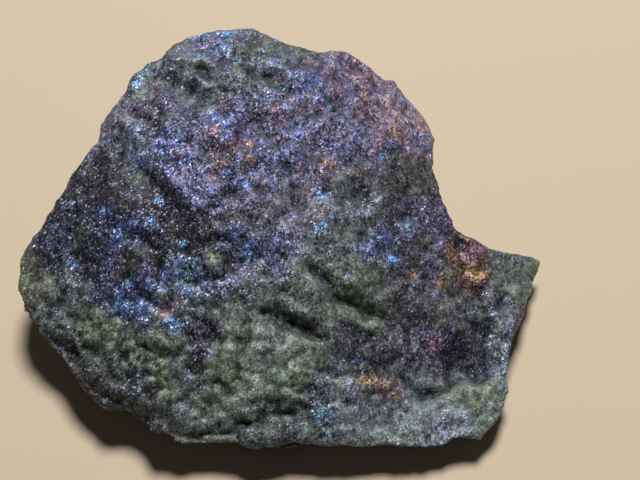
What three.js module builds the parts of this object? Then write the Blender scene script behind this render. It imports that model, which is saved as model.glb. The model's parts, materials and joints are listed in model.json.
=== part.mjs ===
// Peacock ore: a broken hand specimen of bornite and chalcopyrite, all one piece.
// It is a wedge. The back is thick and domed, and the top slopes forward to a thin front edge, with
// a level apron along the front right. The right side has a curved bite with a short spur under it.
// Millimetres, +X right, +Y back, +Z up. It rests on the flat of its underside at z = 0.
import * as THREE from "three";
import { ImprovedNoise } from "three/addons/math/ImprovedNoise.js";
import { mergeVertices } from "three/addons/utils/BufferGeometryUtils.js";

// The rim of the top, seen from above and taken clockwise from the back: x, y, and how far the foot
// of the side lies inside the rim there.
const OUTLINE = [
  [-4.8, 20.9, 0.5],
  [-1.6, 20.9, 0.5],
  [1.1, 19.0, 1.0],
  [4.8, 18.2, 1.0],
  [7.4, 19.2, 1.5],
  [9.8, 18.0, 1.5],
  [12.4, 16.6, 1.5],
  [14.3, 15.2, 1.5],
  [16.3, 13.6, 2.0],
  [17.2, 10.4, 2.0],
  [16.8, 7.1, 2.0],
  [17.8, 3.0, 2.0],
  [19.5, 0.5, 2.0],
  [22.2, -0.9, 2.0],
  [24.4, -1.2, 2.5],
  [28.4, -0.4, 4.0],
  [27.6, -4.4, 3.5],
  [25.1, -9.8, 3.0],
  [24.6, -15.8, 3.0],
  [23.4, -19.0, 3.0],
  [21.2, -20.3, 3.0],
  [18.0, -22.2, 3.0],
  [15.4, -22.6, 3.0],
  [10.0, -22.5, 3.0],
  [5.5, -22.8, 3.0],
  [0.5, -22.0, 3.5],
  [-4.5, -21.9, 4.0],
  [-9.6, -23.0, 4.5],
  [-13.1, -21.1, 5.0],
  [-15.2, -19.5, 6.0],
  [-17.6, -18.6, 7.0],
  [-19.0, -17.0, 7.0],
  [-23.9, -12.0, 9.0],
  [-26.3, -9.0, 9.5],
  [-27.2, -4.3, 9.5],
  [-26.3, -2.1, 8.5],
  [-22.1, 3.8, 6.5],
  [-17.5, 10.9, 4.5],
  [-15.2, 14.5, 3.5],
  [-12.0, 17.4, 2.0],
  [-9.4, 19.4, 1.0],
];
const MIDDLE = new THREE.Vector2(1.8, -8.2); // the whole outline is in plain sight from here
const OUTLINE_WIGGLE = 0.35; // how far the broken edge strays from straight lines
const OUTLINE_WIGGLE_LENGTH = 2.6;

// The break planes of the top. Each has a height at a place x, y, and rises by so much a millimetre
// along x and along y. The lowest plane is the surface, except that the apron stands through the
// planes above, and the flank of the spur cuts it off.
const BREAKS = [
  { name: "back of the dome", height: 17.0, x: -4, y: 13.3, alongX: 0.0, alongY: -0.08 },
  { name: "dome, left", height: 17.0, x: -4, y: 11.3, alongX: 0.05, alongY: 0.2 },
  { name: "dome, right", height: 17.0, x: -4, y: 11.3, alongX: -0.2, alongY: 0.2 },
  { name: "left flank", height: 7.0, x: -27, y: -6.7, alongX: 0.39, alongY: 0.22 },
  { name: "front slope", height: 14.0, x: 0, y: -2.7, alongX: 0.0, alongY: 0.48 },
  { name: "bite edge", height: 11.0, x: 14, y: -0.7, alongX: -0.45, alongY: 0.05 },
  { name: "fall to the spur", height: 11.5, x: 10, y: -1.7, alongX: -0.37, alongY: 0.37 },
  { name: "front left slope", height: 10.0, x: -12, y: -9.7, alongX: 0.3, alongY: 0.4 },
];
const APRON = { height: 4.4, x: 15, y: -15.7, alongX: -0.05, alongY: 0.12 };
const SPUR_FLANK = { height: 5.6, x: 25.7, y: -2.5, alongX: -1.05, alongY: 0.2 };
const BREAK_ROUNDING = 1.1; // how widely two break planes run into each other
const SPUR_ROUNDING = 0.4;

// Ledges: the top drops by so much along the line from one end to the other, on the side to the
// left of that direction, and climbs back over the run.
const LEDGES = [
  { from: [12.0, -9.4], to: [7.2, -8.1], drop: 0.8, run: 2.2 },
  { from: [7.8, -8.3], to: [3.6, -5.0], drop: 0.9, run: 2.4 },
  { from: [4.8, -12.0], to: [-1.3, -9.7], drop: 0.65, run: 1.9 },
  { from: [10.4, -12.0], to: [7.2, -10.9], drop: 0.6, run: 1.8 },
  { from: [-3.5, 10.3], to: [-13.0, 15.8], drop: 0.7, run: 5.0 },
  { from: [-8.4, -0.7], to: [-12.6, 4.2], drop: 0.8, run: 4.0 },
  { from: [-12.2, 3.4], to: [-16.8, 9.4], drop: 0.8, run: 3.5 },
  { from: [1.5, -4.1], to: [-6.6, -4.9], drop: 0.9, run: 3.0 },
  { from: [-3.4, -20.9], to: [-9.2, -21.5], drop: 0.7, run: 2.0 },
  { from: [3.0, -19.1], to: [-1.6, -19.3], drop: 0.8, run: 2.2 },
  { from: [-19.0, -13.5], to: [-24.0, -11.1], drop: 0.9, run: 2.5 },
  { from: [-12.4, -19.7], to: [-18.2, -16.9], drop: 0.7, run: 2.0 },
  { from: [17.0, -15.3], to: [22.4, -14.9], drop: 1.3, run: 4.5 },
  { from: [22.2, -15.3], to: [22.0, -5.7], drop: 0.8, run: 3.0 },
  { from: [9.2, 3.1], to: [6.0, 1.5], drop: 0.6, run: 2.5 },
  { from: [15.8, 2.3], to: [12.6, 5.9], drop: 0.6, run: 2.5 },
];
const LEDGE_LIP = 0.35; // half the width that a drop is spread over
const LEDGE_TAPER = 0.5; // how far a ledge dies out past each end, as a share of its run

// Hollows sink into the top and knobs stand up from it: x, y, radius, and depth or height.
const HOLLOWS = [
  [19.6, -12.9, 3.2, 1.3],
  [14.4, 4.3, 2.2, 0.6],
  [-9.0, -2.2, 2.4, 0.7],
  [9.0, -8.9, 2.4, 0.6],
  [-1.5, 7.8, 3.5, 0.5],
  [6.5, 10.8, 3.2, 0.5],
  [-20.0, -3.7, 3.0, 0.6],
];
const KNOBS = [
  [-6.7, -6.1, 1.5, 0.8],
  [9.0, -6.9, 2.2, 0.7],
  [-24.8, -7.3, 2.4, 0.7],
  [0.5, -15.2, 4.5, 0.8],
  [-12.5, -11.7, 2.6, 0.6],
  [-17.5, -14.5, 2.2, 0.5],
  [11.5, -16.7, 2.4, 0.5],
  [3.0, 14.8, 3.0, 0.5],
  [-11.5, 11.3, 2.6, 0.5],
  [15.0, -8.7, 2.2, 0.6],
];

// The broken surface is covered with chips, each a facet of its own, and is rough all over. A chip
// leans by up to tilt mm a mm, and stands out or lies back by up to half of step.
const SMALL_CHIPS = { size: 3.3, tilt: 0.18, step: 0.2 };
const SIDE_CHIPS = { size: 8.0, tilt: 0.3, step: 0.5 };
const ROUGHNESS = [
  { length: 5.0, height: 0.45 },
  { length: 1.9, height: 0.22 },
];

const UNDERCUT_POWER = 1.4; // the side is steep under the rim and draws in towards the foot
const SIDE_BELLY = 0.07; // how far the side swells between rim and foot, as a share of its height

// The underside is flat where it rests, and rises a little from there to the foot of the side.
const RESTING_PLACE = new THREE.Vector2(-1, 0);
const RESTING_RADIUS = 10.0;
const UNDERSIDE_RISE = 1.0;
const UNDERSIDE_RUN = 9.0;
const UNDERSIDE_HOLLOW = 0.8;
const UNDERSIDE_HOLLOW_LENGTH = 6.0;

// The ball that is shaped into the stone: how finely it is divided, and where its parts end, as
// angles down from its pole. The top has the most detail, so it takes the most of the ball.
const BALL_DETAIL = 20;
const RIM_ANGLE = THREE.MathUtils.degToRad(102);
const FOOT_ANGLE = THREE.MathUtils.degToRad(138);
const SNAP_ANGLE = THREE.MathUtils.degToRad(1.1); // what lies this near the rim is put on it
const TURN_STEPS = 720;

// Planes of the noise that the rim and the underside read, apart from what the surface reads.
const RIM_NOISE_LEVEL = 0.5;
const UNDERSIDE_NOISE_LEVEL = 7.5;

const ORE_COLOUR = 0x4a4860;
const ORE_ROUGHNESS = 0.5;
const ORE_METALNESS = 0.6;

const { clamp, lerp, smoothstep, seededRandom } = THREE.MathUtils;
const noise = new ImprovedNoise();

function sum(list, amount) {
  return list.reduce((total, item) => total + amount(item), 0);
}

// The lower of two heights, with the corner between them rounded.
function roundedMin(a, b, width) {
  const blend = clamp(0.5 + (b - a) / (2 * width), 0, 1);
  return lerp(b, a, blend) - width * blend * (1 - blend);
}

function roundedMax(a, b, width) {
  return -roundedMin(-a, -b, width);
}

function planeHeight(plane, x, y) {
  return plane.height + plane.alongX * (x - plane.x) + plane.alongY * (y - plane.y);
}

function breakHeight(x, y) {
  const heights = BREAKS.map((plane) => planeHeight(plane, x, y));
  const wedge = heights.reduce((low, height) => roundedMin(low, height, BREAK_ROUNDING));
  const slab = roundedMax(wedge, planeHeight(APRON, x, y), BREAK_ROUNDING);
  return roundedMin(slab, planeHeight(SPUR_FLANK, x, y), SPUR_ROUNDING);
}

// How far a ledge lowers the top at x, y.
function ledgeDrop({ from, to, drop, run }, x, y) {
  const start = new THREE.Vector2(...from);
  const line = new THREE.Vector2(...to).sub(start);
  const length = line.length();
  line.normalize();
  const offset = new THREE.Vector2(x, y).sub(start);
  const along = offset.dot(line);
  const across = line.cross(offset);
  const taper = LEDGE_TAPER * run;
  const inside = smoothstep(along, -taper, taper) * smoothstep(length - along, -taper, taper);
  const fall = smoothstep(across, -LEDGE_LIP, LEDGE_LIP);
  const climb = smoothstep(across, LEDGE_LIP, run);
  return drop * inside * fall * (1 - climb);
}

function dome([centreX, centreY, radius, height], x, y) {
  const away = Math.hypot(x - centreX, y - centreY) / radius;
  return height * (1 - smoothstep(away, 0, 1));
}

function topHeight(x, y) {
  const ledges = sum(LEDGES, (ledge) => ledgeDrop(ledge, x, y));
  const hollows = sum(HOLLOWS, (hollow) => dome(hollow, x, y));
  const knobs = sum(KNOBS, (knob) => dome(knob, x, y));
  return breakHeight(x, y) - ledges - hollows + knobs;
}

// The cells of a lattice that touch the one a point is in, and that one.
function cellsAround(point, size) {
  const home = point.clone().divideScalar(size).floor();
  const cells = [];
  for (let i = -1; i <= 1; i++) {
    for (let j = -1; j <= 1; j++) {
      for (let k = -1; k <= 1; k++) cells.push(home.clone().add(new THREE.Vector3(i, j, k)));
    }
  }
  return cells;
}

// One chip sits somewhere in each cell, and its place, lean and level follow from the cell alone.
function chipIn(cell, size) {
  seededRandom(1 + Math.abs(cell.x * 7919 + cell.y * 104729 + cell.z * 1299709));
  const shift = new THREE.Vector3(seededRandom(), seededRandom(), seededRandom());
  const lean = new THREE.Vector3(seededRandom(), seededRandom(), seededRandom()).subScalar(0.5);
  const level = seededRandom() - 0.5;
  return { centre: cell.clone().add(shift).multiplyScalar(size), lean, level };
}

// A point lies on the chip with the nearest centre.
function chipRelief({ size, tilt, step }, point) {
  let nearest = Infinity;
  let relief = 0;
  for (const cell of cellsAround(point, size)) {
    const { centre, lean, level } = chipIn(cell, size);
    const distance = centre.distanceTo(point);
    if (distance >= nearest) continue;
    nearest = distance;
    relief = 2 * tilt * lean.dot(point.clone().sub(centre)) + step * level;
  }
  return relief;
}

function roughRelief(point) {
  return sum(ROUGHNESS, ({ length, height }) =>
    height * noise.noise(point.x / length, point.y / length, point.z / length));
}

// How far the rim lies from the middle in the direction of an angle, and the foot inside the rim.
function edgeAt(angle) {
  const ray = new THREE.Vector2(Math.cos(angle), Math.sin(angle));
  for (let i = 0; i < OUTLINE.length; i++) {
    const [ax, ay, aFoot] = OUTLINE[i];
    const [bx, by, bFoot] = OUTLINE[(i + 1) % OUTLINE.length];
    const a = new THREE.Vector2(ax, ay).sub(MIDDLE);
    const b = new THREE.Vector2(bx, by).sub(MIDDLE);
    const before = ray.cross(a);
    const after = ray.cross(b);
    if (before < 0 || after > 0 || before === after) continue;
    const share = before / (before - after);
    const hit = a.lerp(b, share);
    if (hit.dot(ray) <= 0) continue;
    const wave = hit.clone().divideScalar(OUTLINE_WIGGLE_LENGTH);
    const stray = OUTLINE_WIGGLE * noise.noise(wave.x, wave.y, RIM_NOISE_LEVEL);
    return { rim: hit.length() + stray, overhang: lerp(aFoot, bFoot, share) };
  }
  throw new Error("the outline isn't closed around its middle");
}

function planPoint(angle, radius) {
  return new THREE.Vector2(Math.cos(angle), Math.sin(angle)).multiplyScalar(radius).add(MIDDLE);
}

// How much of the rim's length lies before each step round the middle, as a share of the whole.
// Equal turns of the ball then cover equal lengths of rim, and the triangles keep about one size.
function turnTable() {
  const rimPoint = (step) => {
    const angle = (step * 2 * Math.PI) / TURN_STEPS;
    return planPoint(angle, edgeAt(angle).rim);
  };
  const lengths = [0];
  for (let i = 0; i < TURN_STEPS; i++) {
    lengths.push(lengths[i] + rimPoint(i).distanceTo(rimPoint(i + 1)));
  }
  return lengths.map((length) => length / lengths[TURN_STEPS]);
}

function angleOfTurn(table, turn) {
  const next = clamp(table.findIndex((share) => share > turn), 1, TURN_STEPS);
  const part = (turn - table[next - 1]) / (table[next] - table[next - 1]);
  return ((next - 1 + part) * 2 * Math.PI) / TURN_STEPS;
}

function topPoint(angle, edge, share) {
  const { x, y } = planPoint(angle, edge.rim * share);
  const point = new THREE.Vector3(x, y, topHeight(x, y));
  point.z += chipRelief(SMALL_CHIPS, point) + roughRelief(point);
  return point;
}

function undersideHeight(x, y) {
  const away = Math.hypot(x - RESTING_PLACE.x, y - RESTING_PLACE.y) - RESTING_RADIUS;
  const wave = new THREE.Vector2(x, y).divideScalar(UNDERSIDE_HOLLOW_LENGTH);
  const hollow = UNDERSIDE_HOLLOW * noise.noise(wave.x, wave.y, UNDERSIDE_NOISE_LEVEL);
  return (UNDERSIDE_RISE + hollow) * smoothstep(away, 0, UNDERSIDE_RUN);
}

function undersidePoint(angle, edge, share) {
  const { x, y } = planPoint(angle, (edge.rim - edge.overhang) * share);
  return new THREE.Vector3(x, y, undersideHeight(x, y));
}

function sidePoint(angle, edge, share) {
  const rim = topPoint(angle, edge, 1);
  const foot = undersidePoint(angle, edge, 1);
  const swell = Math.sin(Math.PI * share);
  const undercut = edge.overhang * share ** UNDERCUT_POWER;
  const radius = edge.rim - undercut + SIDE_BELLY * rim.z * swell;
  const place = planPoint(angle, radius);
  const point = new THREE.Vector3(place.x, place.y, lerp(rim.z, foot.z, share));
  const chips = chipRelief(SIDE_CHIPS, point) + chipRelief(SMALL_CHIPS, point);
  const relief = (chips + roughRelief(point)) * Math.sqrt(swell);
  const moved = planPoint(angle, radius + relief);
  return point.set(moved.x, moved.y, point.z);
}

// How far an angle has come from one end of its range to the other, by area of the ball.
function capShare(angle, from, to) {
  return (Math.cos(from) - Math.cos(angle)) / (Math.cos(from) - Math.cos(to));
}

function stonePoint(direction, table) {
  const down = Math.acos(clamp(direction.z, -1, 1));
  const turn = (Math.atan2(direction.y, direction.x) / (2 * Math.PI) + 1) % 1;
  const angle = angleOfTurn(table, turn);
  const edge = edgeAt(angle);
  if (Math.abs(down - RIM_ANGLE) < SNAP_ANGLE) return topPoint(angle, edge, 1);
  if (down < RIM_ANGLE) return topPoint(angle, edge, Math.sqrt(capShare(down, 0, RIM_ANGLE)));
  if (down < FOOT_ANGLE) return sidePoint(angle, edge, capShare(down, RIM_ANGLE, FOOT_ANGLE));
  return undersidePoint(angle, edge, Math.sqrt(capShare(down, Math.PI, FOOT_ANGLE)));
}

function stoneGeometry() {
  const ball = new THREE.IcosahedronGeometry(1, BALL_DETAIL);
  ball.deleteAttribute("normal");
  ball.deleteAttribute("uv");
  const stone = mergeVertices(ball);
  const table = turnTable();
  const places = stone.getAttribute("position");
  for (let i = 0; i < places.count; i++) {
    const direction = new THREE.Vector3().fromBufferAttribute(places, i).normalize();
    const point = stonePoint(direction, table);
    places.setXYZ(i, point.x, point.y, point.z);
  }
  stone.computeBoundingBox();
  const centre = stone.boundingBox.getCenter(new THREE.Vector3());
  stone.translate(-centre.x, -centre.y, -stone.boundingBox.min.z);
  stone.computeVertexNormals();
  return stone;
}

const oreSurface = new THREE.MeshStandardMaterial({
  color: ORE_COLOUR,
  roughness: ORE_ROUGHNESS,
  metalness: ORE_METALNESS,
});

const oreStone = new THREE.Mesh(stoneGeometry(), oreSurface);
oreStone.name = "ore_stone";

const specimen = new THREE.Group();
specimen.add(oreStone);

export default specimen;
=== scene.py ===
"""Peacock ore: a broken hand specimen of tarnished copper ore, lying on a plain pale floor.

Sizes in the tables are millimetres in the part's own frame: +X right, +Y back, +Z up.
"""

import json
import math

import bpy
import numpy as np
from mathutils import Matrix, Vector, noise

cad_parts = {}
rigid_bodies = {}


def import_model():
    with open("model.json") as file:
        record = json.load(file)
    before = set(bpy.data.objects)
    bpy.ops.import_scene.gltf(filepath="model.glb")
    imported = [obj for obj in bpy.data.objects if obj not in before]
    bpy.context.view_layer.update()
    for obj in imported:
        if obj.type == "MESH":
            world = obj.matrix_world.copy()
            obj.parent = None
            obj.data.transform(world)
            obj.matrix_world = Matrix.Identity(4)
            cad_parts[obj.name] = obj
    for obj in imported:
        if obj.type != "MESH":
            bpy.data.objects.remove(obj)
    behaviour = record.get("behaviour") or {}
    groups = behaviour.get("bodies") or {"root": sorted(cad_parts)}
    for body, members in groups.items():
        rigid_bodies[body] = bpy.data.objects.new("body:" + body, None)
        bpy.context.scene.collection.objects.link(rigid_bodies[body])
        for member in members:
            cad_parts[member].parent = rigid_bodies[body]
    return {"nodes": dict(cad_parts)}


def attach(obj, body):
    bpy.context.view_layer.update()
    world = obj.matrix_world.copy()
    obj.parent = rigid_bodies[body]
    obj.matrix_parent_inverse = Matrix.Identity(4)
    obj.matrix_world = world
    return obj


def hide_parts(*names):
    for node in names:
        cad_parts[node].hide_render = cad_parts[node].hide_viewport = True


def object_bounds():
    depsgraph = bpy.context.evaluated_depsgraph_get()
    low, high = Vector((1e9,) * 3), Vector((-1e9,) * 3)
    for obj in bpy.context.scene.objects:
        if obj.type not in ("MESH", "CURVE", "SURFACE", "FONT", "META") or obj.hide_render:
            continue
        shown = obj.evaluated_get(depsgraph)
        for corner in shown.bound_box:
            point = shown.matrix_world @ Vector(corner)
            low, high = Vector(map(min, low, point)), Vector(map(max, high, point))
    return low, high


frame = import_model()
cad_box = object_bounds()

MM = 0.001

NOISE_SEED = 5
noise.seed_set(NOISE_SEED)  # without a seed of its own, the noise differs at each run

# ---------------------------------------------------------------------------------------------
# Camera, light and floor
# ---------------------------------------------------------------------------------------------

VIEW_TARGET = (3.81, -0.34, 7.5)
VIEW_DISTANCE = 160.84
VIEW_ELEVATION = math.radians(60)
VIEW_ANGLE = math.radians(24)  # across the width of the picture
NEAREST_SEEN = 1.0

LIGHT_DISTANCE = 600.0
KEY_LIGHT = {"elevation": 66, "turn": 8, "size": 160, "watts": 3.7, "colour": (1.0, 0.98, 0.96)}
SKY_COLOUR = (1.0, 0.93, 0.86)
SKY_STRENGTH = 0.035

FLOOR_SIZE = 1600.0
FLOOR_COLOUR = (0.66, 0.55, 0.40)
FLOOR_ROUGHNESS = 0.75


def toward(elevation, turn):
    """The direction up to a light that stands behind the stone, turned toward +X, in degrees."""
    rise, swing = math.radians(elevation), math.radians(turn)
    flat = math.cos(rise)
    return Vector((math.sin(swing) * flat, math.cos(swing) * flat, math.sin(rise)))


def aim(thing, place, direction):
    """Puts a camera or a lamp at a place, facing in a direction."""
    thing.location = place
    thing.rotation_euler = direction.to_track_quat("-Z", "Y").to_euler()


def make_camera():
    lens = bpy.data.cameras.new("camera")
    lens.sensor_fit = "HORIZONTAL"
    lens.angle = VIEW_ANGLE
    lens.clip_start = NEAREST_SEEN * MM
    camera = bpy.data.objects.new("camera", lens)
    bpy.context.scene.collection.objects.link(camera)
    looking = Vector((0, math.cos(VIEW_ELEVATION), -math.sin(VIEW_ELEVATION)))
    aim(camera, (Vector(VIEW_TARGET) - looking * VIEW_DISTANCE) * MM, looking)
    bpy.context.scene.camera = camera


def make_light(name, elevation, turn, size, watts, colour):
    lamp = bpy.data.lights.new(name, "AREA")
    lamp.shape = "DISK"
    lamp.size = size * MM
    lamp.energy = watts
    lamp.color = colour
    light = bpy.data.objects.new(name, lamp)
    bpy.context.scene.collection.objects.link(light)
    up = toward(elevation, turn)
    aim(light, up * LIGHT_DISTANCE * MM, -up)


def make_sky():
    world = bpy.data.worlds.new("studio")
    world.use_nodes = True
    background = world.node_tree.nodes["Background"]
    background.inputs["Color"].default_value = (*SKY_COLOUR, 1)
    background.inputs["Strength"].default_value = SKY_STRENGTH
    bpy.context.scene.world = world


def make_floor():
    bpy.ops.object.select_all(action="DESELECT")
    bpy.ops.mesh.primitive_plane_add(size=FLOOR_SIZE * MM)
    floor = bpy.context.object
    floor.name = floor.data.name = "studio_floor"
    paint = bpy.data.materials.new("floor_paint")
    paint.use_nodes = True
    surface = paint.node_tree.nodes["Principled BSDF"]
    surface.inputs["Base Color"].default_value = (*FLOOR_COLOUR, 1)
    surface.inputs["Roughness"].default_value = FLOOR_ROUGHNESS
    floor.data.materials.append(paint)


# ---------------------------------------------------------------------------------------------
# The stone's shape
# ---------------------------------------------------------------------------------------------

MERGE_DISTANCE = 0.001
SEAM_SLOPE = -0.35  # a face whose normal reaches lower than this belongs to the underside
MAP_MARGIN = 0.004
FACE_SIZE = 0.26
SMOOTHING = 0.5
MELT_ROUNDS = 9  # smooths away the solid's own facets before the surface is roughened
FOLD_ANGLE = math.radians(95)  # the surface counts as folded over at edges sharper than this
FOLD_ROUNDS = 6
NOISE_STRETCH = 1.4
WANDER_STEP = (17.3, 5.9, 11.1)  # from one seed's pattern to the next one's
PATCH_STEP = (7.7, 13.1, 3.3)
WEIGHT_STEPS = 64

# Ledges: the depth of the groove at the ledge's foot, and the ledge's line as seen from above. The
# foot lies to the right of the line and the lip to its left.
LEDGES = [
    [0.55, (3.1, -5.5), (4, -6.2), (5, -7.2), (5.8, -7.9), (7.2, -8.4), (10.2, -9.3)],
    [0.4, (-1.8, -9.9), (-0.2, -10), (0.9, -10.7), (3, -11.6), (4.2, -12.1)],
    [0.3, (6.9, -11.1), (8, -11.3), (8.9, -11.7)],
    [0.4, (-2.6, -18.5), (-0.9, -18.4), (0.6, -18.9), (1.6, -18.7)],
    [0.6, (-8.2, -20.8), (-6, -20.6), (-3.9, -20.2)],
    [0.25, (-12.7, 16), (-10.5, 15.3), (-8.6, 15.5)],
    [0.25, (-7.6, 14.3), (-6.5, 12.8), (-5.2, 12.4)],
    [0.25, (-16, 10.7), (-14.5, 9.8), (-13.2, 8.6)],
    [0.35, (-9.8, -4.3), (-8.5, -3.8), (-7.1, -3.2), (-5.5, -3.5)],
    [0.2, (-8.2, -5.8), (-7.5, -7), (-6.5, -7.1), (-5.6, -6.4)],
    [0.6, (-24.2, -11.1), (-21.6, -12.4), (-19.7, -12.7), (-18.1, -14), (-17.4, -15)],
    [0.5, (12.8, -15.4), (14.2, -16.8), (16.1, -16), (18.1, -14.5)],
    [0.5, (-13.2, -13.5), (-11.9, -14.1), (-10.7, -13.8)],
]
DEEPEST = max(depth for depth, *_ in LEDGES)
LEDGE_WANDER = [(1.6, 0.4, 1)]  # the length, reach and seed of the smooth shift of its line
GROOVE_OFFSET = 0.2  # to the right of the line
GROOVE_WIDTH = 0.55
LIP_OFFSET = 0.45  # to its left
LIP_WIDTH = 0.6
LIP_HEIGHT = 0.25

# Where each zone of roughness lies. A pair says where it starts and where it is full.
TOP_FACING = (0.0, 0.4)
DOME_SLANT = 0.25  # the dome's foot comes this much forward for each millimetre to the right
DOME_FOOT = (-1.3, 3.7)
FRONT = (0.4, 10.4)
LEFT_SLANT = 0.6  # the left part reaches this much further right for each millimetre forward
LEFT = (3, 17)
LEAST_LUMPY = 0.2  # the share of the lumps that is left away from the front left
RESTING_PLACE = (-2, 0)
RESTING_RADIUS = 12
RESTING_FACING = -0.5
RIM_ROUNDS = 16  # how widely the normals are averaged: round the thin rim they cancel out
RIM_AGREEMENT = (0.7, 0.93)
RIM_CALM = 0.2  # the share of the roughness that is left on the rim

# The broken surface, in the order in which it is made: a zone, a pattern, and the pattern's size,
# height and settings. With a height under 0, its cells stand up as lumps between creases.
LUMPS = {"level": 0.35, "distance_metric": "DISTANCE_SQUARED"}
GRIT = {"distance_metric": "DISTANCE"}
BREAKS = [
    ["open", "CLOUDS", 1.9, 0.4, {"noise_depth": 2}],
    ["lumpy", "VORONOI", 1.45, -0.65, LUMPS],
    ["lumpy", "VORONOI", 0.75, -0.12, LUMPS],
    ["gritty", "VORONOI", 1.1, -0.22, GRIT],
    ["gritty", "VORONOI", 0.6, -0.12, GRIT],
    ["open", "CLOUDS", 0.35, 0.06, {"noise_depth": 1}],
]


def select_only(piece):
    bpy.ops.object.select_all(action="DESELECT")
    piece.select_set(True)
    bpy.context.view_layer.objects.active = piece


def apply_modifier(piece, kind, **settings):
    select_only(piece)
    modifier = piece.modifiers.new(kind.title(), kind)
    for setting, value in settings.items():
        setattr(modifier, setting, value)
    bpy.ops.object.modifier_apply(modifier=modifier.name)


def select_all_faces():
    bpy.ops.mesh.select_mode(type="FACE")
    bpy.ops.mesh.select_all(action="SELECT")


def edit(piece):
    """Opens the piece in edit mode, with all its faces selected."""
    select_only(piece)
    bpy.ops.object.mode_set(mode="EDIT")
    select_all_faces()


def done_editing():
    bpy.ops.object.mode_set(mode="OBJECT")


def select_faces(piece, chosen):
    """Selects only the faces for which the test is true, on a piece in edit mode."""
    bpy.ops.mesh.select_mode(type="FACE")
    bpy.ops.mesh.select_all(action="DESELECT")
    bpy.ops.object.mode_set(mode="OBJECT")
    piece.data.polygons.foreach_set("select", chosen(piece.data.polygons))
    bpy.ops.object.mode_set(mode="EDIT")


def read(items, name):
    """A named vector of each vertex or face, one in a row."""
    values = np.empty(len(items) * 3, np.float32)
    items.foreach_get(name, values)
    return values.reshape(-1, 3).astype(float)


def on_underside(faces):
    return read(faces, "normal")[:, 2] < SEAM_SLOPE


def on_summit(faces):
    heights = read(faces, "center")[:, 2]
    return heights == heights.max()


def places_of(piece):
    """Where the piece's vertices are, in millimetres."""
    return read(piece.data.vertices, "co") / MM


def normals_of(piece):
    return read(piece.data.vertices, "normal")


def wander(places, length, reach, seed):
    """A smooth random shift of each place, that changes over the given length."""
    start = Vector([seed * step for step in WANDER_STEP])
    return reach * np.array([noise.noise_vector(Vector(p) / length + start) for p in places])


def stray(places, wanders):
    """The places, each shifted by every wander in the list."""
    strayed = places
    for length, reach, seed in wanders:
        strayed = strayed + wander(places, length, reach, seed)
    return strayed


def patchiness(places, length, seed):
    """A smooth random number from 0 to 1 for each place, that changes over the length."""
    start = Vector([seed * step for step in PATCH_STEP])
    level = np.array([noise.noise(Vector(p) / length + start) for p in places])
    return np.clip(0.5 + NOISE_STRETCH * level, 0, 1)


def ramp(values, low, high):
    """0 below low, 1 above high and a soft climb between. Low may be the larger of the two."""
    share = np.clip((values - low) / (high - low), 0, 1)
    return share * share * (3 - 2 * share)


def mound(values, middle, width):
    """1 at the middle, and less and less away from it."""
    return np.exp(-(((values - middle) / width) ** 2))


def weigh(piece, name, weights):
    """Keeps the weights, from 0 to 1, as a vertex group."""
    group = piece.vertex_groups.new(name=name)
    steps = np.round(np.clip(weights, 0, 1) * WEIGHT_STEPS).astype(int)
    for step in range(1, WEIGHT_STEPS + 1):
        members = np.flatnonzero(steps == step)
        if len(members):
            group.add(members.tolist(), step / WEIGHT_STEPS, "REPLACE")


def raise_by(piece, zone, height):
    """Lifts the zone straight up by its weights, with the given height where they are 1."""
    apply_modifier(
        piece, "DISPLACE", direction="Z", strength=height * MM, mid_level=0, vertex_group=zone
    )


def roughen(piece, zone, kind, size, height, level=0.5, **settings):
    """Raises and lowers the surface by a pattern of the given size and height.

    Where the pattern's value is the level, the surface stays where it is.
    """
    texture = bpy.data.textures.new(kind.title(), kind)
    texture.noise_scale = size * MM
    for setting, value in settings.items():
        setattr(texture, setting, value)
    apply_modifier(
        piece,
        "DISPLACE",
        texture=texture,
        texture_coords="LOCAL",
        strength=height * MM,
        mid_level=level,
        vertex_group=zone,
    )


def off_line(places, line):
    """How far each place is from the line, seen from above, with a minus to the line's left."""
    nearest = np.full(len(places), np.inf)
    side = np.zeros(len(places))
    for start, end in zip(line, line[1:]):
        along = np.subtract(end, start)
        length = np.hypot(*along)
        along = along / length
        offset = places[:, :2] - start
        travel = np.clip(offset @ along, 0, length)
        distance = np.hypot(*(offset - travel[:, None] * along).T)
        right = offset @ (along[1], -along[0])
        side = np.where(distance < nearest, np.sign(right), side)
        nearest = np.minimum(distance, nearest)
    return nearest * side


def spread(piece, values, rounds):
    """Each vertex's values, averaged with those of its neighbours the given number of times."""
    ends = np.empty(len(piece.data.edges) * 2, np.int32)
    piece.data.edges.foreach_get("vertices", ends)
    first, second = ends.reshape(-1, 2).T
    neighbours = np.bincount(ends, minlength=len(values))
    rows = values.T
    for _ in range(rounds):
        total = [
            np.bincount(first, row[second], len(row)) + np.bincount(second, row[first], len(row))
            for row in rows
        ]
        rows = np.array(total) / neighbours
    return rows.T


def drop_crumbs(piece):
    """Deletes the specks that the new faces leave beside a thin edge, apart from the body."""
    edit(piece)
    select_faces(piece, on_summit)
    bpy.ops.mesh.select_linked()
    bpy.ops.mesh.select_all(action="INVERT")
    bpy.ops.mesh.delete(type="VERT")
    done_editing()


def smooth_folds(piece):
    """Smooths the surface where the roughening has folded it over itself."""
    edit(piece)
    bpy.ops.mesh.select_mode(type="EDGE")
    bpy.ops.mesh.select_all(action="DESELECT")
    bpy.ops.mesh.edges_select_sharp(sharpness=FOLD_ANGLE)
    bpy.ops.mesh.select_more()
    bpy.ops.mesh.vertices_smooth(factor=SMOOTHING, repeat=FOLD_ROUNDS)
    done_editing()


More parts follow.
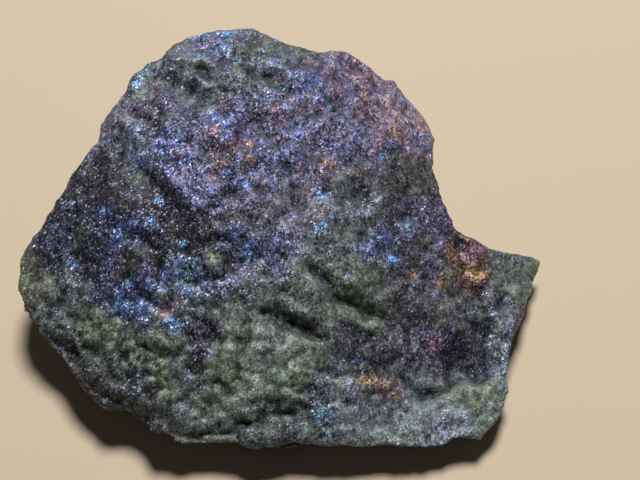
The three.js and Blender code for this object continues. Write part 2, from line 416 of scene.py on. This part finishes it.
def lay_out_stone():
    """The solid's own surface, laid with small even faces and smoothed, with a map of its own."""
    solid = frame["nodes"]["ore_stone"]
    stone = bpy.data.objects.new("tarnished_stone", solid.data.copy())
    stone.data.name = "tarnished_stone"
    bpy.context.scene.collection.objects.link(stone)
    edit(stone)
    bpy.ops.mesh.remove_doubles(threshold=MERGE_DISTANCE * MM)
    bpy.ops.mesh.customdata_custom_splitnormals_clear()
    done_editing()
    apply_modifier(stone, "REMESH", mode="VOXEL", voxel_size=FACE_SIZE * MM)
    drop_crumbs(stone)
    apply_modifier(stone, "SMOOTH", factor=SMOOTHING, iterations=MELT_ROUNDS)
    while stone.data.uv_layers:
        stone.data.uv_layers.remove(stone.data.uv_layers[0])
    stone.data.uv_layers.new(name="OFBake")
    edit(stone)
    select_faces(stone, on_underside)
    bpy.ops.mesh.region_to_loop()
    bpy.ops.mesh.mark_seam()
    select_all_faces()
    bpy.ops.uv.unwrap(method="CONFORMAL", margin=MAP_MARGIN)
    done_editing()
    return stone


def weigh_ledges(stone, share):
    """Weighs the ledges' grooves and lips, each times the share at its vertex."""
    strayed = stray(places_of(stone), LEDGE_WANDER)
    on_top = ramp(normals_of(stone)[:, 2], *TOP_FACING)
    grooves, lips = np.zeros(len(strayed)), np.zeros(len(strayed))
    for depth, *line in LEDGES:
        aside = off_line(strayed, line)
        groove = mound(aside, GROOVE_OFFSET, GROOVE_WIDTH) * depth / DEEPEST
        lip = mound(aside, -LIP_OFFSET, LIP_WIDTH) * depth / DEEPEST
        grooves = np.maximum(grooves, groove * on_top)
        lips = np.maximum(lips, lip * on_top)
    weigh(stone, "grooves", grooves * share)
    weigh(stone, "lips", lips * share)


def weigh_breaks(stone, share):
    """Weighs the zones of the broken surface, times the share, and leaves the resting flat alone."""
    places = places_of(stone)
    right, back = places[:, 0], places[:, 1]
    up = normals_of(stone)[:, 2]
    dome = ramp(back + DOME_SLANT * right, *DOME_FOOT) * ramp(up, *TOP_FACING)
    front_left = ramp(-back, *FRONT) * ramp(-right - LEFT_SLANT * back, *LEFT)
    from_middle = np.hypot(*(places[:, :2] - RESTING_PLACE).T)
    resting = (from_middle < RESTING_RADIUS) & (up < RESTING_FACING)
    open_part = share * ~resting
    lumpy = (1 - dome) * (LEAST_LUMPY + (1 - LEAST_LUMPY) * front_left)
    weigh(stone, "lumpy", lumpy * open_part)
    weigh(stone, "gritty", (1 - front_left) * open_part)
    weigh(stone, "open", open_part)


def roughen_stone(stone):
    agreement = np.linalg.norm(spread(stone, normals_of(stone), RIM_ROUNDS), axis=1)
    inside_rim = RIM_CALM + (1 - RIM_CALM) * ramp(agreement, *RIM_AGREEMENT)
    weigh_ledges(stone, inside_rim)
    weigh_breaks(stone, inside_rim)
    raise_by(stone, "grooves", -DEEPEST)
    raise_by(stone, "lips", LIP_HEIGHT)
    for zone, pattern, size, height, settings in BREAKS:
        roughen(stone, zone, pattern, size, height, **settings)
    smooth_folds(stone)


def settle(stone):
    """Brings the roughened stone back into the solid's own box, which also sets its foot at z = 0."""
    low, high = (np.array(corner) for corner in cad_box)
    places = read(stone.data.vertices, "co")
    least, most = places.min(axis=0), places.max(axis=0)
    places = low + (places - least) * (high - low) / (most - least)
    stone.data.vertices.foreach_set("co", places.astype(np.float32).ravel())
    stone.data.update()


# ---------------------------------------------------------------------------------------------
# The stone's colours
# ---------------------------------------------------------------------------------------------

# The tarnish's colours, in linear light.
PIGMENTS = {
    "pitch": (0.010, 0.011, 0.013),
    "night": (0.018, 0.019, 0.032),
    "ink": (0.042, 0.048, 0.094),
    "dusk": (0.072, 0.084, 0.124),
    "slate": (0.120, 0.136, 0.188),
    "silver": (0.185, 0.202, 0.270),
    "indigo": (0.066, 0.082, 0.200),
    "blue": (0.105, 0.155, 0.340),
    "azure": (0.130, 0.320, 0.620),
    "cyan": (0.130, 0.250, 0.360),
    "violet": (0.130, 0.125, 0.255),
    "plum": (0.098, 0.070, 0.130),
    "rose": (0.215, 0.140, 0.200),
    "coral": (0.320, 0.180, 0.175),
    "magenta": (0.270, 0.120, 0.190),
    "russet": (0.150, 0.088, 0.082),
    "orange": (0.310, 0.180, 0.115),
    "gold": (0.330, 0.215, 0.095),
    "cream": (0.340, 0.270, 0.220),
    "umber": (0.082, 0.070, 0.062),
    # a dark olive for the front rim's painted shade
    "bottle": (0.050, 0.061, 0.050),
    "olive": (0.108, 0.136, 0.100),
    "moss": (0.160, 0.202, 0.148),
    "lichen": (0.240, 0.300, 0.222),
    "mist": (0.170, 0.212, 0.225),
}

# What covers the stone at large: places on the top, and the pigments that are mingled round each.
REGIONS = [
    # the back of the dome
    [(-15.3, 13.4), "slate dusk olive slate"],
    [(-14.8, 10.3), "ink plum rose violet ink dusk olive"],
    [(-12.2, 15.8), "ink night olive ink dusk rose"],
    [(-11.1, 17.7), "olive dusk slate olive"],
    [(-9.2, 19.6), "blue cyan rose indigo slate"],
    [(-9.1, 12.4), "slate olive silver slate"],
    [(-5.2, 15), "olive dusk night olive indigo"],
    [(-1.5, 17), "olive dusk night olive"],
    [(-1.1, 11.3), "dusk ink plum night"],
    [(-1.1, 14.6), "slate olive blue slate"],
    [(0.8, 12.8), "blue night ink plum indigo"],
    [(1.7, 10.8), "rose silver violet blue"],
    [(8.8, 14.8), "rose plum blue rose indigo slate coral"],
    [(10.6, 10.8), "russet plum rose dusk"],
    [(13.2, 11.8), "coral silver blue rose cream rose blue"],
    # the front of the dome, down to the fold line
    # darker for painted shade under the dome's left edge, over the flank's own dark tarnish
    [(-17.9, 5.2), "night night umber night"],
    [(-17.2, 9.2), "silver slate rose slate"],
    [(-16.4, 8.4), "silver blue cyan silver"],
    [(-15.7, 2.3), "night ink umber night"],
    [(-15.7, 7.1), "silver cyan silver blue"],
    [(-11.2, 5.8), "indigo blue ink slate violet rose"],
    [(-10.9, 8.8), "ink dusk night indigo"],
    [(-8.8, 0.8), "indigo slate ink violet indigo"],
    [(-6.2, 8.8), "ink indigo plum night indigo"],
    [(-5.2, 4.3), "russet night ink night indigo"],
    [(0.5, 6.6), "ink blue night plum"],
    [(1.8, 0.8), "slate rose olive slate indigo"],
    [(3.8, 4.8), "russet indigo umber plum"],
    [(3.8, 7.8), "blue ink violet indigo rose dusk"],
    [(6, 8.4), "ink plum dusk indigo"],
    [(7.5, 2.3), "slate olive dusk slate"],
    [(8.8, 8.8), "rose blue indigo slate plum blue"],
    [(9.8, 2.8), "night umber night dusk night"],
    [(13.8, 5.8), "night umber night olive night"],
    [(14.8, 0.8), "ink night plum night"],
    # the valley, the plateau and the left flank
    [(-26.8, -5.7), "olive umber olive"],
    [(-23.2, -3.2), "night ink night dusk"],
    [(-22.3, -6.6), "mist dusk olive dusk"],
    [(-21.8, -4.5), "pitch ink night pitch"],
    [(-20.6, -8.7), "lichen mist slate"],
    [(-19.3, -7), "night ink indigo night"],
    [(-18.2, -0.2), "ink night indigo night ink"],
    [(-14.8, -8.2), "blue night blue ink night indigo"],
    [(-14.4, -4.8), "pitch umber night ink"],
    [(-14, -0.8), "pitch ink pitch"],
    # darker for painted shade under the dome's left edge, over the flank's own dark tarnish
    [(-12.8, -0.7), "night ink night night"],
    [(-11.4, -6.5), "indigo slate ink blue"],
    [(-11, -4.6), "pitch pitch ink pitch"],
    [(-9.6, -6.8), "slate blue mist blue"],
    [(-9.2, -3.2), "pitch night pitch umber"],
    [(-7.9, -4.7), "pitch night pitch ink"],
    [(-4.2, -5.2), "ink violet night indigo"],
    [(-3.4, -7), "dusk olive slate dusk"],
    [(-2.8, -2.8), "ink umber night dusk"],
    [(-0.8, -4.3), "slate blue slate violet"],
    [(1, -9.5), "olive night olive dusk"],
    [(2.8, -6.2), "slate moss dusk moss slate"],
    [(6, -6.3), "olive night dusk olive"],
    [(8.1, -8), "moss olive moss"],
    [(8.8, -7.2), "olive moss dusk olive moss"],
    [(13, -7.3), "night umber dusk night"],
    [(13.8, -3.2), "ink night dusk umber"],
    [(14.5, -0.6), "slate plum indigo slate"],
    [(14.7, -4.8), "plum slate umber violet"],
    [(16.8, -6.7), "umber dusk olive russet"],
    [(18.8, -3.2), "umber russet night plum"],
    [(20.9, -8.8), "umber slate dusk olive"],
    [(23.1, -9.2), "umber dusk slate dusk"],
    [(25.8, -2.2), "mist moss dusk"],
    # the front, with painted shade in the dark regions along its rim, where it turns down away from
    # the light
    [(-23.4, -12.4), "bottle night dusk night"],
    [(-22.8, -10.6), "bottle olive night"],
    [(-20.2, -10.2), "moss olive moss olive"],
    [(-19.6, -16.4), "night bottle night bottle"],
    [(-15.4, -20), "night bottle night"],
    [(-15.2, -14.2), "lichen dusk olive night moss lichen"],
    [(-14.6, -17.3), "bottle pitch dusk"],
    [(-12.5, -15.7), "lichen moss lichen"],
    [(-9.2, -15.2), "slate olive dusk"],
    [(-8.2, -18.2), "olive moss dusk moss slate"],
    [(-8.2, -12.2), "night plum night ink"],
    [(-7.4, -13.8), "pitch ink pitch"],
    [(-5.7, -16.3), "mist moss lichen"],
    [(-5.4, -12), "moss slate olive moss dusk"],
    [(-4.2, -12.9), "lichen mist lichen"],
    [(-3.6, -16.4), "lichen mist lichen"],
    [(-1.8, -20.6), "bottle olive dusk bottle"],
    [(-1.2, -12.1), "olive night olive dusk"],
    [(-0.2, -14.2), "lichen mist lichen mist"],
    [(0.8, -17), "lichen mist lichen"],
    [(1.2, -20.6), "bottle pitch night"],
    [(2.4, -12.4), "olive moss dusk olive"],
    [(2.8, -20.2), "mist dusk ink moss mist"],
    [(3.6, -18.4), "dusk ink olive night"],
    [(4.6, -16.7), "ink dusk olive ink"],
    [(6.8, -18.4), "lichen silver mist"],
    [(8.4, -15.8), "umber pitch night pitch"],
    [(8.8, -13.2), "night dusk night umber night"],
    [(10.8, -19.2), "mist slate mist moss dusk"],
    [(15.8, -11.2), "violet night plum night silver night"],
    [(17.5, -20), "mist silver mist"],
    [(19.8, -17.2), "mist olive moss"],
    [(19.8, -11.7), "night umber dusk night"],
    [(22.6, -12.8), "slate mist dusk slate"],
]
UNDERSIDE = "ink olive dusk moss ink indigo violet"
UNDERSIDE_FACING = (0.35, -0.25)  # from where the top's colours give way to where they are gone
REGION_WANDER = [(3.0, 1.9, 2), (0.8, 0.8, 3)]
REGION_SPREAD = 0.6
REGION_SHARPNESS = 3

# Stains that stand out: a pigment, a place and a radius. A later one lies over an earlier one.
STAINS = [
    ["blue", (-12.2, 6.6), 1.4], ["blue", (-6.8, 9.1), 1.2], ["blue", (1.1, 8.8), 1.0],
    ["blue", (-16, 7.3), 0.8], ["blue", (3, 14.2), 1.2], ["blue", (-1.9, 11.5), 0.5],
    ["blue", (-2.4, 3.3), 0.8], ["blue", (-16.1, -1.8), 1.2], ["blue", (-14.1, -2), 0.5],
    ["blue", (-5, -2.8), 0.8], ["blue", (8.9, -3.4), 1.3], ["blue", (7.5, -14.3), 0.7],
    ["blue", (-4.2, 1.8), 0.8], ["azure", (4, 1.7), 0.7], ["azure", (4.5, 11.8), 0.6],
    ["azure", (-13.7, -1.1), 0.4], ["azure", (-18.9, 0.2), 0.48], ["azure", (-12.9, 0.8), 0.48],
    ["azure", (-10.2, -3.9), 0.48], ["azure", (-6.8, -4.2), 0.4], ["azure", (-3.4, -4.5), 0.8],
    ["azure", (-22.2, -4.1), 0.32], ["azure", (-15.9, -6.8), 0.48], ["azure", (-17.1, -8.8), 0.64],
    ["blue", (-15.2, -9.2), 1.3], ["azure", (-10.8, -11.2), 1.2], ["azure", (11.2, -4.1), 0.7],
    ["azure", (3.9, -1.8), 0.6], ["azure", (-15.9, 13.9), 0.5], ["cyan", (-14.9, 14.9), 0.7],
    ["cyan", (4.4, -20), 1.0], ["cyan", (12.9, -0.6), 0.8], ["azure", (-8.9, 20.1), 0.8],
    ["azure", (-6.6, 19.8), 0.7], ["azure", (13.8, 14.8), 0.6], ["azure", (0.1, 10), 0.4],
    ["violet", (-7.8, -7.6), 0.9], ["violet", (-4.8, -7.3), 0.7], ["violet", (4, -6.6), 0.6],
    ["violet", (0.9, -4.6), 0.8], ["plum", (-1.4, -14.4), 0.7], ["violet", (-7.5, -14.8), 0.4],
    ["violet", (16.1, -20.5), 0.9], ["rose", (-13.6, 13.9), 0.6], ["rose", (-15.5, 10.8), 0.5],
    ["rose", (-14.1, 9.6), 0.6], ["rose", (-0.3, 14.4), 0.6], ["rose", (-0.8, 10.4), 0.8],
    ["rose", (3.8, 11.5), 0.7], ["coral", (-7.5, 2.8), 0.6], ["rose", (-2.8, 0.9), 0.7],
    ["rose", (9.2, 16), 0.9], ["coral", (10.9, 13.8), 0.9], ["coral", (-11.9, -10), 0.8],
    ["coral", (-10.7, -9.9), 0.7], ["magenta", (19.8, -2), 0.8], ["magenta", (21.1, -1.4), 0.8],
    ["magenta", (15.8, -11.8), 0.6], ["magenta", (11.5, -16.9), 0.8], ["russet", (-5.2, 6.2), 0.9],
    ["pitch", (8.7, -15.2), 0.7], ["orange", (4.7, 5.4), 0.7], ["orange", (12.6, 12.9), 0.5],
    ["orange", (14.5, 11.8), 0.45], ["orange", (13.3, -5.1), 0.5], ["orange", (16.6, -5.4), 0.7],
    ["gold", (19.3, -4), 1.1], ["gold", (20.8, -3.9), 1.0], ["gold", (8.2, -16.3), 0.5],
    ["orange", (9.2, -16.6), 0.6], ["orange", (17.9, -2.4), 0.8], ["lichen", (-6.8, -5.7), 0.9],
    ["moss", (-26.4, -5.6), 1.0], ["lichen", (-20.1, -10.5), 1.0], ["moss", (-9.1, 15.9), 0.8],
    ["moss", (-15.2, 12.6), 0.8], ["moss", (-16.4, 9.4), 0.7], ["night", (-9.1, -12.4), 1.4],
    ["olive", (-14.5, -4.5), 0.6], ["moss", (-9.4, -7.1), 0.8], ["moss", (-12.6, -8.7), 0.7],
    ["olive", (-10, -10.3), 1.2], ["moss", (-8, -10), 0.8], ["olive", (-21.1, -1.5), 0.9],
    ["moss", (-15.2, 3.7), 0.6], ["indigo", (-16.1, -2), 1.2], ["indigo", (-14.2, -6.1), 0.7],
    ["pitch", (-11.9, -4.9), 1.5], ["pitch", (-9, -4.9), 1.1],
    ["blue", (10.3, -2.5), 1.2], ["orange", (19.8, -5.2), 0.9],
    ["silver", (7, -18.2), 1.3], ["cyan", (-9.2, -6.6), 0.9], ["lichen", (-3.8, -12.9), 1.3],
    ["blue", (-16.2, -2.4), 1.4], ["lichen", (1.1, -16.9), 1.1], ["silver", (-16.5, 8.1), 1.6],
    ["magenta", (10.2, -17), 0.8], ["gold", (10.5, -16.6), 0.5], ["orange", (11.6, -17.6), 0.4],
    ["coral", (8.5, 13.7), 0.6], ["rose", (8, 16.2), 0.7], ["coral", (9.7, 8.4), 0.6],
    ["orange", (4.9, 5.2), 0.6], ["russet", (8.1, 4.5), 0.5], ["gold", (13, 10.9), 0.5],
    ["gold", (11.8, 10.5), 0.5], ["russet", (2.3, 16.6), 0.7], ["azure", (10.4, 7.4), 0.4],
    ["rose", (-0.1, 9.9), 0.6], ["rose", (-6.1, 11.1), 0.7], ["coral", (-7.2, 7.9), 0.6],
    ["coral", (-3.5, 6.8), 0.5],
]
STAIN_WANDER = [(0.9, 0.45, 4), (0.35, 0.3, 6)]
STAIN_START = 1.5  # in radii from its middle
STAIN_FULL = 0.4
SPECKLE_LENGTH = 0.35
SPECKLE_LEVEL = (0.2, 0.6)
MINGLE_LENGTH = 1.1
MINGLE_STRETCH = (0.8, 1.2, 1.2)  # under 1, the mingled patches are longer that way
MINGLE_EDGE = (0.25, 0.75)
UNDERSIDE_LENGTH = 3 * MINGLE_LENGTH
COAT_SEEDS = {"stain": 5, "other_stain": 8}
PIT_ROUNDS = 10
PIT_DEPTH = 0.14  # how far the bottom of a pit lies under its surroundings


def pits_of(stone):
    """How far each vertex lies under its smoothed surroundings: 0 on a lump, 1 in a pit."""
    places = places_of(stone)
    sunk = ((spread(stone, places, PIT_ROUNDS) - places) * normals_of(stone)).sum(axis=1)
    return np.clip(0.5 + sunk / (2 * PIT_DEPTH), 0, 1)


def mingle(names, level):
    """A pigment for each level from 0 to 1, which runs through the named ones in turn."""
    chosen = np.array([PIGMENTS[name] for name in names.split()])
    step = level * (len(chosen) - 1)
    first = np.minimum(step.astype(int), len(chosen) - 2)
    share = ramp(step - first, *MINGLE_EDGE)[:, None]
    return chosen[first] * (1 - share) + chosen[first + 1] * share


def keep_colour(stone, name, colours, alpha):
    layer = stone.data.color_attributes.new(name=name, type="FLOAT_COLOR", domain="POINT")
    values = np.column_stack([colours, alpha]).astype(np.float32)
    layer.data.foreach_set("color", values.ravel())


def lay_regions(places, seed):
    """The regions' mingled pigments, at each place mostly those of the nearest region."""
    level = patchiness(places * MINGLE_STRETCH, MINGLE_LENGTH, seed)
    total, colours = np.zeros((len(places), 1)), np.zeros((len(places), 3))
    for place, names in REGIONS:
        distance = ((places[:, :2] - place) ** 2).sum(axis=1) + REGION_SPREAD
        share = (distance**-REGION_SHARPNESS)[:, None]
        total += share
        colours += share * mingle(names, level)
    return colours / total


def lay_stains(colours, places, seed):
    """The colours with the speckled stains over them."""
    flat = stray(places, STAIN_WANDER)[:, :2]
    speckle = ramp(patchiness(places, SPECKLE_LENGTH, seed), *SPECKLE_LEVEL)
    for name, place, radius in STAINS:
        distance = np.hypot(*(flat - place).T)
        share = (ramp(distance, radius * STAIN_START, radius * STAIN_FULL) * speckle)[:, None]
        colours = colours + share * (np.array(PIGMENTS[name]) - colours)
    return colours


def coat(places, up, seed):
    """One coat of colours: the regions, the stains over them, and the underside's own pigments."""
    strayed = stray(places, REGION_WANDER)
    colours = lay_stains(lay_regions(strayed, seed), places, seed + 1)
    below = mingle(UNDERSIDE, patchiness(strayed, UNDERSIDE_LENGTH, seed + 2))
    share = ramp(up, *UNDERSIDE_FACING)[:, None]
    return colours + share * (below - colours)


def paint_stone(stone):
    """Lays two coats of colours on the stone's vertices, with the pits' depth in their alpha, from
    which the finish paints shade into the pits.

    The stone's finish picks one coat or the other for each fine grain.
    """
    places = places_of(stone)
    up = normals_of(stone)[:, 2]
    pits = pits_of(stone)
    for name, seed in COAT_SEEDS.items():
        keep_colour(stone, name, coat(places, up, seed), pits)


# ---------------------------------------------------------------------------------------------
# The stone's finish
# ---------------------------------------------------------------------------------------------

GRAIN = 0.17
FINE_GRAIN = 0.1
CLUSTER = 0.6
CLUSTER_DETAIL = 2
OTHER_COAT = (0.76, 0.84)  # the chances between which a fine grain changes to the other coat

# What counts as each kind of tarnish, by the coat's saturation, or by its value for the dark one.
LUSTROUS = (0.2, 0.65)
TARNISHED = (0.22, 0.36)
DARK = (0.05, 0.2)

# How the grains' shades and hues vary. A pair's two ends are for the least and the most of what
# varies them: chance, tarnish, depth in a pit, or place in a cluster.
GRAIN_HUE = (0.46, 0.54)
FINE_SATURATION = (0.5, 1.5)
GRAIN_SHADE = (0.65, 1.35)
TARNISH_CONTRAST = (0.8, 2.4)
FINE_SHADE = (0.7, 1.3)
# The pits' painted shade, with some dark grime: darker the deeper a vertex lies in a pit, and a
# little lighter on the lumps.
PIT_LEVEL = (0.3, 0.95)
PIT_PAINTED_SHADE = (1.2, 0.25)
CLUSTER_LEVEL = (0.35, 0.65)
CLUSTER_SHADE = (0.78, 1.22)

# Painted glints: grains picked by chance, whose base colour is painted brighter to stand for
# highlights.
PAINTED_GLINT_CHANCE = (0.84, 1)
PAINTED_GLINT_SHARPNESS = 1.2
TARNISH_PAINTED_GLINT = (0.3, 1.0)
DARK_PAINTED_GLINT = (0.8, 1.6)
PAINTED_GLINT_CLUSTER_LEVEL = (0.4, 0.65)
CLUSTER_PAINTED_GLINT = (0.5, 1.5)
PAINTED_GLINT_GAIN = 2.2
PAINTED_GLINT_COLOUR = (0.24, 0.24, 0.30)

GRAIN_TILT = 0.4
FINE_TILT = 0.28
LUSTRE_METALLIC = (0.30, 0.45)
LUSTRE_ROUGHNESS = (0.60, 0.52)
FINE_ROUGHNESS = (-0.1, 0.1)
MIDDLE_GREY = (0.5, 0.5, 0.5)

# The numbers of the Mix node's sockets when it mixes colours.
MIX_SHARE = 0
MIX_FIRST = 6
MIX_SECOND = 7
MIX_RESULT = 2


def add_node(tree, kind, inputs=(), **settings):
    """A node with its settings, and its inputs given as numbers, colours or other nodes' outputs."""
    node = tree.nodes.new("ShaderNode" + kind)
    for setting, value in settings.items():
        setattr(node, setting, value)
    for socket, value in dict(inputs).items():
        if isinstance(value, bpy.types.NodeSocket):
            tree.links.new(value, node.inputs[socket])
        else:
            node.inputs[socket].default_value = value
    return node


def work_out(tree, operation, *values):
    return add_node(tree, "Math", dict(enumerate(values)), operation=operation).outputs[0]


def multiply(tree, first, *others):
    for other in others:
        first = work_out(tree, "MULTIPLY", first, other)
    return first


def combine(tree, operation, first, second=None):
    """Works out a vector from one or two others, or from one and a number for SCALE."""
    inputs = {0: first}
    if operation == "SCALE":
        inputs["Scale"] = second
    elif second is not None:
        inputs[1] = second
    return add_node(tree, "VectorMath", inputs, operation=operation).outputs[0]


def remap(tree, value, span=(0, 1), to=(0, 1)):
    """Brings the ends of the value's span to the ends of another, and holds it there beyond them."""
    low, high = span
    to_low, to_high = to
    inputs = {"Value": value, "From Min": low, "From Max": high, "To Min": to_low, "To Max": to_high}
    return add_node(tree, "MapRange", inputs).outputs[0]


def mix_colours(tree, share, first, second):
    """The first colour where the share is 0 and the second where it is 1."""
    inputs = {MIX_SHARE: share, MIX_FIRST: first, MIX_SECOND: second}
    return add_node(tree, "Mix", inputs, data_type="RGBA").outputs[MIX_RESULT]


def lay_grains(tree, place, size):
    """Grains of the given size: their random colours, and each colour's three parts as chances."""
    inputs = {"Vector": place, "Scale": 1 / (size * MM)}
    colours = add_node(tree, "TexVoronoi", inputs).outputs["Color"]
    return colours, add_node(tree, "SeparateColor", {0: colours}).outputs


def tilt_grains(tree, colours, share):
    """A small turn of the surface for each grain, which is the same all over it."""
    centred = combine(tree, "SUBTRACT", colours, MIDDLE_GREY)
    return combine(tree, "SCALE", centred, share)


def tarnished_ore():
    """Fine sparkling grains, each with its own tilt, shade and hue, over the vertices' colours, with
    painted glints and the pits' painted shade in the base colour.
    """
    finish = bpy.data.materials.new("tarnished_ore")
    finish.use_nodes = True
    tree = finish.node_tree
    surface = tree.nodes["Principled BSDF"]

    place = add_node(tree, "TexCoord").outputs["Object"]
    grains, chance = lay_grains(tree, place, GRAIN)
    fine_grains, fine_chance = lay_grains(tree, place, FINE_GRAIN)
    clumps = {"Vector": place, "Scale": 1 / (CLUSTER * MM), "Detail": CLUSTER_DETAIL}
    cluster = add_node(tree, "TexNoise", clumps).outputs[0]

    # The coat of each fine grain, and what kind of tarnish it is
    stain = add_node(tree, "Attribute", attribute_name="stain").outputs
    other = add_node(tree, "Attribute", attribute_name="other_stain").outputs
    turned = remap(tree, fine_chance["Green"], OTHER_COAT)
    coated = mix_colours(tree, turned, stain["Color"], other["Color"])
    parts = add_node(tree, "SeparateColor", {0: coated}, mode="HSV").outputs
    lustre = remap(tree, parts["Green"], LUSTROUS)
    tarnish = remap(tree, parts["Green"], TARNISHED)
    dark = remap(tree, parts["Blue"], DARK, (1, 0))

    # Each grain's own hue and shade, with painted shade and dark grime in the pits, and a little
    # lighter on the lumps
    hue = remap(tree, chance["Blue"], to=GRAIN_HUE)
    saturation = remap(tree, fine_chance["Blue"], to=FINE_SATURATION)
    contrast = work_out(tree, "ADD", remap(tree, tarnish, to=TARNISH_CONTRAST), dark)
    shade = multiply(
        tree,
        work_out(tree, "POWER", remap(tree, chance["Green"], to=GRAIN_SHADE), contrast),
        remap(tree, fine_chance["Red"], to=FINE_SHADE),
        remap(tree, stain["Alpha"], PIT_LEVEL, PIT_PAINTED_SHADE),
        remap(tree, cluster, CLUSTER_LEVEL, CLUSTER_SHADE),
    )
    colours = {"Hue": hue, "Saturation": saturation, "Value": shade, "Color": coated}
    shaded = add_node(tree, "HueSaturation", colours).outputs[0]

    # Painted glints: grains picked by chance get a brighter base colour that stands for highlights
    painted_glint = multiply(
        tree,
        work_out(tree, "POWER", remap(tree, chance["Red"], PAINTED_GLINT_CHANCE), PAINTED_GLINT_SHARPNESS),
        remap(tree, tarnish, to=TARNISH_PAINTED_GLINT),
        remap(tree, dark, to=DARK_PAINTED_GLINT),
        remap(tree, cluster, PAINTED_GLINT_CLUSTER_LEVEL, CLUSTER_PAINTED_GLINT),
    )
    painted_glint_brightened = add_node(tree, "HueSaturation", {"Value": PAINTED_GLINT_GAIN, "Color": shaded}).outputs[0]
    painted_glint_tone = combine(tree, "ADD", painted_glint_brightened, PAINTED_GLINT_COLOUR)
    sparkling = mix_colours(tree, painted_glint, shaded, painted_glint_tone)

    # Each grain's own tilt
    tilt = tilt_grains(tree, grains, GRAIN_TILT)
    tilt = combine(tree, "ADD", tilt, tilt_grains(tree, fine_grains, FINE_TILT))
    normal = add_node(tree, "NewGeometry").outputs["Normal"]
    facing = combine(tree, "NORMALIZE", combine(tree, "ADD", normal, tilt))

    fine_roughness = remap(tree, fine_chance["Green"], to=FINE_ROUGHNESS)
    roughness = remap(tree, lustre, to=LUSTRE_ROUGHNESS)
    roughness = work_out(tree, "ADD", roughness, fine_roughness)
    tree.links.new(sparkling, surface.inputs["Base Color"])
    tree.links.new(remap(tree, lustre, to=LUSTRE_METALLIC), surface.inputs["Metallic"])
    tree.links.new(roughness, surface.inputs["Roughness"])
    tree.links.new(facing, surface.inputs["Normal"])
    return finish


def make_stone():
    stone = lay_out_stone()
    roughen_stone(stone)
    settle(stone)
    paint_stone(stone)
    stone.data.materials.clear()
    stone.data.materials.append(tarnished_ore())
    select_only(stone)
    bpy.ops.object.shade_smooth()
    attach(stone, "root")
    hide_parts("ore_stone")


make_camera()
make_light("key_light", **KEY_LIGHT)
make_sky()
make_floor()
make_stone()
bpy.context.scene.view_settings.view_transform = "Standard"
